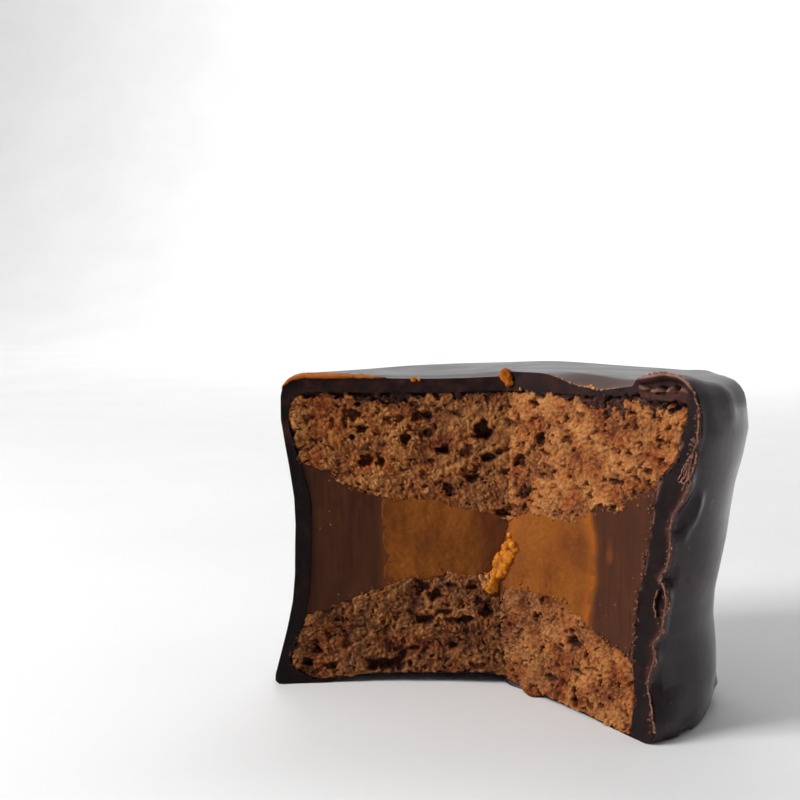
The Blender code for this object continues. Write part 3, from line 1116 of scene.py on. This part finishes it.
def coatingBody():
    block = spunBlock("coatingShell", 130, 4, 96)
    refineEnds(block, coatingStyle["fineEnds"], 3)

    def place(share, along, depth):
        reach, z, lift = skin(share, along, depth)
        point = cutPoint(share, reach, z)
        tint = warm = 0.0
        if lift > 0.7 and 0 < share < 1:        # dull top, browner in the dip beside the right cut
            near = eased((5.6 - alongArc(1 - share, reach)) / 1.6)
            near *= eased((reach - 6) / 5) * eased((25 - reach) / 3)
            warm = mix(0.8, 2.2, near)
            tint = 0.16 * near
        if share == 0 and lift > 0.2:
            warm = 0.20 + 0.40 * noise.noise(point / 2.5) + 0.25 * noise.noise(point / 0.8)
        if share in (0, 1) or reach < 0.01:
            relief = 0.10 * noise.noise(point / 1.8) + 0.05 * noise.noise(point / 0.5)
            if share > 0.5:
                edgeReach, topZ, _ = skin(share, along, 0)
                inwards = math.hypot(edgeReach - reach, topZ - z)
                if lift > 0.2:
                    ear, warm, tint = earRelief(reach, z, topZ, point)
                    relief += ear * eased((lift - 0.2) / 0.5)
                    plain = (0.17 + 0.25 * noise.noise(point / 2.5)) * eased((lift - 0.5) / 0.6)
                    warm = max(warm * eased((lift - 0.3) / 0.9), plain)
                flare = eased(1 - inwards / burrStyle["width"] - 0.35 * noise.noise(point / 1.7))
                flare *= eased((0.8 - abs(lift)) / 0.4) * eased((z + 0.3) / 3.5)
                relief += burrStyle["height"] * flare * flare
                warm = max(warm, (0.8 + 0.5 * noise.noise(Vector((reach, 0, z * 0.4)) / 0.35)) * flare)
                tint = max(tint, 0.5 * eased((0.16 - inwards) / 0.12) * flare)
                if abs(lift) < 0.5 and z > 17:      # pale flecks along the inner edge
                    flecks = eased(noise.noise(point / 1.4) * 2 + 0.6)
                    tint = max(tint, 0.5 * eased((depth - 0.92) / 0.06) * flecks)
            point = raised(share, reach, z, relief)
        return point, tint, warm

    cap = set()
    for face in block.data.polygons:
        shares = [blockPlace(block.data.vertices[i].co)[0] for i in face.vertices]
        if max(shares) == 0 or min(shares) == 1:
            cap.add(face.index)
    reshape(block, place, ("tint", "warm"))
    for face in block.data.polygons:
        face.material_index = 1 if face.index in cap else 0
    finishPiece(block, "dark_chocolate", "gloss", "cutChocolate", node="coating")


coatingBody()
print("coating made")


# Burr that the knife left along the outer edge of the right cut
def ribbon(name, path, count, lean, foot, proud, thick):
    # a thin wall standing on the right cut along path(t), which gives reach, height and the way out
    piece = flatGrid(name, count, 6)

    def place(t, w):
        reach, z, lift = path(t)
        here = Vector((reach, 0, z))
        jag = (0.26 * noise.noise(here / 0.5) + 0.32 * noise.noise(here / 0.21)) * w
        height = mix(foot, proud * (1 + 0.7 * noise.noise(here / 0.9)), w) + jag
        height *= mix(0.3, 1.0, eased((z - 1) / 4)) * eased(t / 0.04) * eased((1 - t) / 0.04)
        inwards = lean * (1 - w) - jag * 0.9
        point = raised(1, reach - inwards * math.cos(lift), z - inwards * math.sin(lift), height)
        tint = eased((w - 0.4) / 0.4) * (0.65 + 1.0 * noise.noise(here / 0.28))
        return point, tint, min(1.0, 0.45 + 0.6 * w)

    reshape(piece, place, ("tint", "warm"), gridPlace)
    thicken(piece, thick)
    finishPiece(piece, "dark_chocolate", "cutChocolate")


def leaf(middleReach, middleZ, halfLong, halfWide, slant):
    # closed path round a slender peel
    def path(t):
        along, aside = math.cos(t * math.tau), math.sin(t * math.tau)
        reach = middleReach + slant * along + halfWide * aside * (1 - 0.35 * along)
        return reach, middleZ + halfLong * along, 0.0

    return path


def straight(rows):
    # path down rows of (height, reach)
    top, low = rows[-1][0], rows[0][0]
    return lambda t: (between(rows, mix(top, low, t)), mix(top, low, t), 0.0)


def downTheWall(t):
    z = mix(39.6, 1.5, t)
    return ridgeReach(z), z, 0.0


def overTheEar(t):
    return skin(1, mix(0.226, 0.318, t), 0)


ribbon("knifeBurr", downTheWall, 460, 0.45, 0.25, 0.55, 0.17)
ribbon("earBurr", overTheEar, 100, 0.22, 0.0, 0.42, 0.15)
loop = straight(((14.4, 26.7), (15.4, 26.2), (16.4, 26.2), (17.9, 26.8)))
ribbon("burrLoop", loop, 40, 0.1, 0.0, 0.55, 0.14)
ribbon("outerPeel", leaf(31.1, 32.6, 1.8, 0.42, 0.60), 120, 0.12, 0.0, 0.55, 0.16)
ribbon("innerPeel", leaf(30.4, 32.1, 1.25, 0.26, 0.45), 90, 0.10, 0.0, 0.55, 0.14)
print("burr made")


# Loose bits: crumbs, caramel and shavings, each a small rough lump
def roughLump(name, size, seed, faces, squash, rough):
    deselect()
    bpy.ops.mesh.primitive_ico_sphere_add(subdivisions=faces, radius=size)
    lump = bpy.context.object
    lump.name = name
    for vert in lump.data.vertices:
        at = vert.co / size
        grow = 1 + rough * noise.noise(at * 1.3 + Vector((seed, 0, 0))) * 2
        grow += 0.4 * rough * noise.noise(at * 3.7 + Vector((0, seed, 0)))
        vert.co = Vector((at.x, at.y, at.z * squash)) * grow * size
    return lump


def scatter(name, spots, slot, finish, faces, rough, light=0.3):
    # spots are (point, size, squash); the lumps become one piece
    lumps = []
    for i, (point, size, squash) in enumerate(spots):
        lump = roughLump(name + "Lump", size, i * 1.7, faces, squash, rough)
        turn = Euler((i * 2.4, i * 1.3, i * 0.7)).to_matrix()
        for vert in lump.data.vertices:
            vert.co = (turn @ vert.co + point) * mm
        lumps.append(lump)
    deselect()
    for lump in lumps:
        lump.select_set(True)
    piece = lumps[0]
    bpy.context.view_layer.objects.active = piece
    bpy.ops.object.join()
    piece.name = name
    looks = {"relief": light, "soak": 0.0, "tint": light, "warm": 0.8, "fade": 0.0}
    for look, value in looks.items():
        for entry in piece.data.attributes.new(look, "FLOAT", "POINT").data:
            entry.value = value
    finishPiece(piece, slot, finish)


chance = random.Random(7)


def topEdge(side, reach):
    # height of the coating's top edge at a cut
    return skin(side, reach / guide["reach"] * guideShare, 0)[1]


# middle of the amber caramel in the corner: (height, distance to the right of it)
amberLine = ((12.8, -0.8), (13.5, -1.1), (14.4, -0.8), (15.1, 0.0), (16.8, 0.3), (18.5, 0.7),
             (21, 0.9), (23, 0.9))


def inCorner(aside, z, proud):
    # where the two cuts meet: aside is to the right of the corner
    y = cut["corner"].y - (1.13 * aside if aside > 0 else -0.08 * aside) - proud
    wave = between(cut["cornerWave"], z)
    return Vector((cut["corner"].x + aside + wave * hump(aside / cut["waveWidth"]), y, z))


def amberSpots():
    spots = []
    for _ in range(60):
        z = mix(13.0, 20.6, chance.random() ** 1.15)
        thin = 1 - eased((z - 17.6) / 3) * 0.6
        aside = between(amberLine, z) + chance.gauss(0, 0.34) * thin
        point = inCorner(aside, z, chance.uniform(-0.60, -0.20))
        spots.append((point, chance.uniform(0.50, 0.85) * thin, 1.0))
    for reach, proud, size in ((12.2, 0.2, 0.40), (11.5, 0.1, 0.28)):
        spots.append((raised(0, reach, topEdge(0, reach) - 0.1, proud), size, 0.7))
    return spots


def paleSpots():
    spots = []
    for _ in range(60):         # along the top edge of the right cut, where it dips
        reach = chance.gauss(13.6, 2.6)
        size = chance.uniform(0.05, 0.15)
        up = 0.30 * hump((reach - 14.4) / 0.8) * chance.random()
        point = raised(1, reach, topEdge(1, reach) + up, chance.uniform(-0.45, 0.05))
        spots.append((point, size, 1.0))
    spots.append((raised(1, 14.5, topEdge(1, 14.5) + 0.2, -0.15), 0.24, 1.3))
    spots.append((raised(1, 14.9, topEdge(1, 14.9) + 0.05, -0.15), 0.22, 1.0))
    spots.append((raised(1, 2.7, 39.6, 0.28), 0.22, 1.0))
    for _ in range(16):         # light crumb in the corner, over the lower cookie
        point = inCorner(chance.gauss(-2.0, 0.5), chance.gauss(14.2, 0.7), 0.1)
        spots.append((point, chance.uniform(0.12, 0.34), 1.0))
    return spots


def crumbSpots():
    spots = [(raised(1, 5.6, 0.9, 0.5), 0.85, 0.9), (raised(1, 6.4, 0.6, 0.3), 0.60, 0.8)]
    # stuck to the filling under the upper cookie, and over the lower one
    for which, way, count, reaches, proud, sizes in (
        ("upper", -1, 45, (11, 24), -0.2, (0.05, 0.18)),
        ("lower", 1, 40, (3, 22), -0.15, (0.06, 0.22)),
    ):
        for _ in range(count):
            side = 1 if chance.random() < 0.6 else 0
            reach = chance.uniform(*reaches)
            z = crumbEdge(which, side, reach) + way * abs(chance.gauss(0, 0.5))
            spots.append((raised(side, reach, z, proud), chance.uniform(*sizes), 1.0))
    return spots


def shavingSpots():
    spots = []
    for _ in range(110):        # along the inner edge of the coating at the right cut
        z = chance.uniform(6, 31)
        point = raised(1, innerWall(1, z) + chance.gauss(-0.2, 0.3), z, 0.0)
        spots.append((point, chance.uniform(0.04, 0.15), 1.8))
    for _ in range(170):        # on the burr
        z = chance.uniform(1.5, 39)
        reach = ridgeReach(z) + chance.gauss(-0.25, 0.25)
        point = raised(1, reach, z, chance.uniform(0.25, 0.5))
        spots.append((point, chance.uniform(0.04, 0.13), 1.5))
    for reach, z, size in ((30.7, 30.8, 0.30), (30.3, 30.1, 0.24), (31.4, 35.6, 0.28), (31.0, 35.1, 0.22),
                           (26.7, 9.4, 0.22), (30.6, 30.4, 0.2)):
        spots.append((raised(1, reach, z, 0.45), size, 0.7))
    return spots


scatter("amberCrumbs", amberSpots(), "spiced_caramel", "amber", 3, 0.2)
scatter("paleCrumbs", paleSpots(), "cocoa_crumb", "crumb", 2, 0.5, 0.45)
scatter("looseCrumbs", crumbSpots(), "cocoa_crumb", "crumb", 2, 0.5, -0.25)
scatter("shavings", shavingSpots(), "dark_chocolate", "cutChocolate", 2, 0.5, 0.35)
knob = Vector((cut["corner"].x - 0.1, cut["corner"].y - 0.4, topEdge(0, 0.5) + 0.1))
knobLumps = [(knob, 0.85, 1.1), (knob + Vector((0.3, -0.15, -0.8)), 0.6, 1.2)]
scatter("caramelKnob", knobLumps, "spiced_caramel", "smear", 4, 0.18)
print("loose bits made")


# Caramel smeared along the top edge of the left cut and round the corner
smearStyle = {
    "from": 0.158,          # along the section
    "to": 0.298,
    "edge": 0.4,            # share of its width that lies on the cut face
    "onTop": 3.2,           # how far it reaches on the top
    "onCut": 0.12,          # and on the cut face, as a share of the coating
    "thick": 0.12,
}


def caramelSmear():
    style = smearStyle
    edge = style["edge"]
    piece = flatGrid("caramelSmear", 160, 12)

    def place(t, w):
        along = mix(style["from"], style["to"], t)
        ends = eased(t / 0.12) * eased((1 - t) / 0.1)
        wavy = 0.35 + 0.65 * eased(t * 1.4)
        wavy += 0.4 * noise.noise(Vector((t * 14, 0, 0))) + 0.25 * noise.noise(Vector((t * 50, 3, 0)))
        wavy *= ends
        fade = max(eased(1 - w / 0.25), eased(1 - t / 0.15)) * 0.9
        thick = 0.07 * ends * (1 + noise.noise(Vector((t * 30, w * 2, 7)))) + 0.02
        if w < edge:
            reach, z, _ = skin(0, along, style["onCut"] * wavy * (1 - w / edge))
            return raised(0, reach, z, thick), fade
        far = style["onTop"] * wavy * (w - edge) / (1 - edge)
        share = far / alongArc(1, max(3.0, skin(0, along, 0)[0]))
        reach, z, lift = skin(share, along, 0)
        turn = math.radians(turnAt(share, z))
        out = Vector((math.cos(turn) * math.cos(lift), math.sin(turn) * math.cos(lift), math.sin(lift)))
        thinning = 1 - eased((w - 0.85) / 0.15)
        return cutPoint(share, reach, z) + out * (thick * thinning - 0.03), fade

    reshape(piece, place, ("fade",), gridPlace)
    thicken(piece, style["thick"])
    finishPiece(piece, "spiced_caramel", "smear")


caramelSmear()
print("smear made")


# Studio: pale sweep, soft light, camera; sizes here are in metres
studio = {
    "floorSize": 3.0,
    "backHeight": 1.2,
    "bend": 0.5,
    "sky": 0.45,
    "lights": (             # (name, place, size, power, what it points at)
        ("keyLight", (-0.46, -0.20, 0.30), 0.22, 3.6, (0, -0.01, 0.02)),
        ("backLight", (0.1, 0.9, 0.95), 0.8, 10.0, (0, 1.2, 0.3)),
    ),
}


def floorMaterial():
    made, tree = newMaterial("paleFloor")
    cloud = noisy(tree, onPiece(tree), 60, 2)
    colour = ramp(tree, cloud, (0.3, (0.80, 0.80, 0.80)), (0.7, (0.83, 0.83, 0.83)))
    return finishMaterial(made, BaseColor=colour, Roughness=0.9)


def makeStudio():
    deselect()
    bpy.ops.mesh.primitive_plane_add(size=studio["floorSize"], location=(0, 0, 0))
    floor = bpy.context.object
    floor.name = "floor"
    bpy.ops.object.transform_apply(location=True, rotation=True, scale=True)
    bpy.ops.object.mode_set(mode="EDIT")
    mesh = bmesh.from_edit_mesh(floor.data)
    for edge in mesh.edges:
        edge.select = all(vert.co.y > 0 for vert in edge.verts)
    bmesh.update_edit_mesh(floor.data)
    bpy.ops.mesh.extrude_region_move(TRANSFORM_OT_translate={"value": (0, 0, studio["backHeight"])})
    bpy.ops.object.mode_set(mode="OBJECT")
    sweep = floor.modifiers.new("sweep", "BEVEL")
    sweep.width = studio["bend"]
    sweep.segments = 24
    applyAll(floor)
    bpy.ops.object.shade_smooth()
    floor.data.materials.append(floorMaterial())
    world = bpy.data.worlds.new("studioSky")
    bpy.context.scene.world = world
    world.use_nodes = True
    back = world.node_tree.nodes["Background"]
    back.inputs["Color"].default_value = (0.97, 0.98, 1.0, 1)
    back.inputs["Strength"].default_value = studio["sky"]
    for name, place, size, power, aim in studio["lights"]:
        bpy.ops.object.light_add(type="AREA", location=place)
        lamp = bpy.context.object
        lamp.name = name
        lamp.data.size = size
        lamp.data.energy = power
        lamp.visible_camera = False
        lamp.rotation_euler = (Vector(aim) - Vector(place)).to_track_quat("-Z", "Y").to_euler()


def makeCamera():
    turn, tilt = math.radians(camera["turn"]), math.radians(camera["tilt"])
    way = Vector((-math.sin(turn) * math.cos(tilt), math.cos(turn) * math.cos(tilt), -math.sin(tilt)))
    bpy.ops.object.camera_add(location=Vector(camera["place"]) * mm)
    shot = bpy.context.object
    shot.name = "shot"
    shot.rotation_euler = way.to_track_quat("-Z", "Y").to_euler()
    shot.data.lens = camera["lens"]
    shot.data.sensor_width = 36
    shot.data.clip_start = 0.01
    bpy.context.scene.camera = shot


makeStudio()
makeCamera()
bpy.context.scene.view_settings.view_transform = "Standard"
print("studio made")
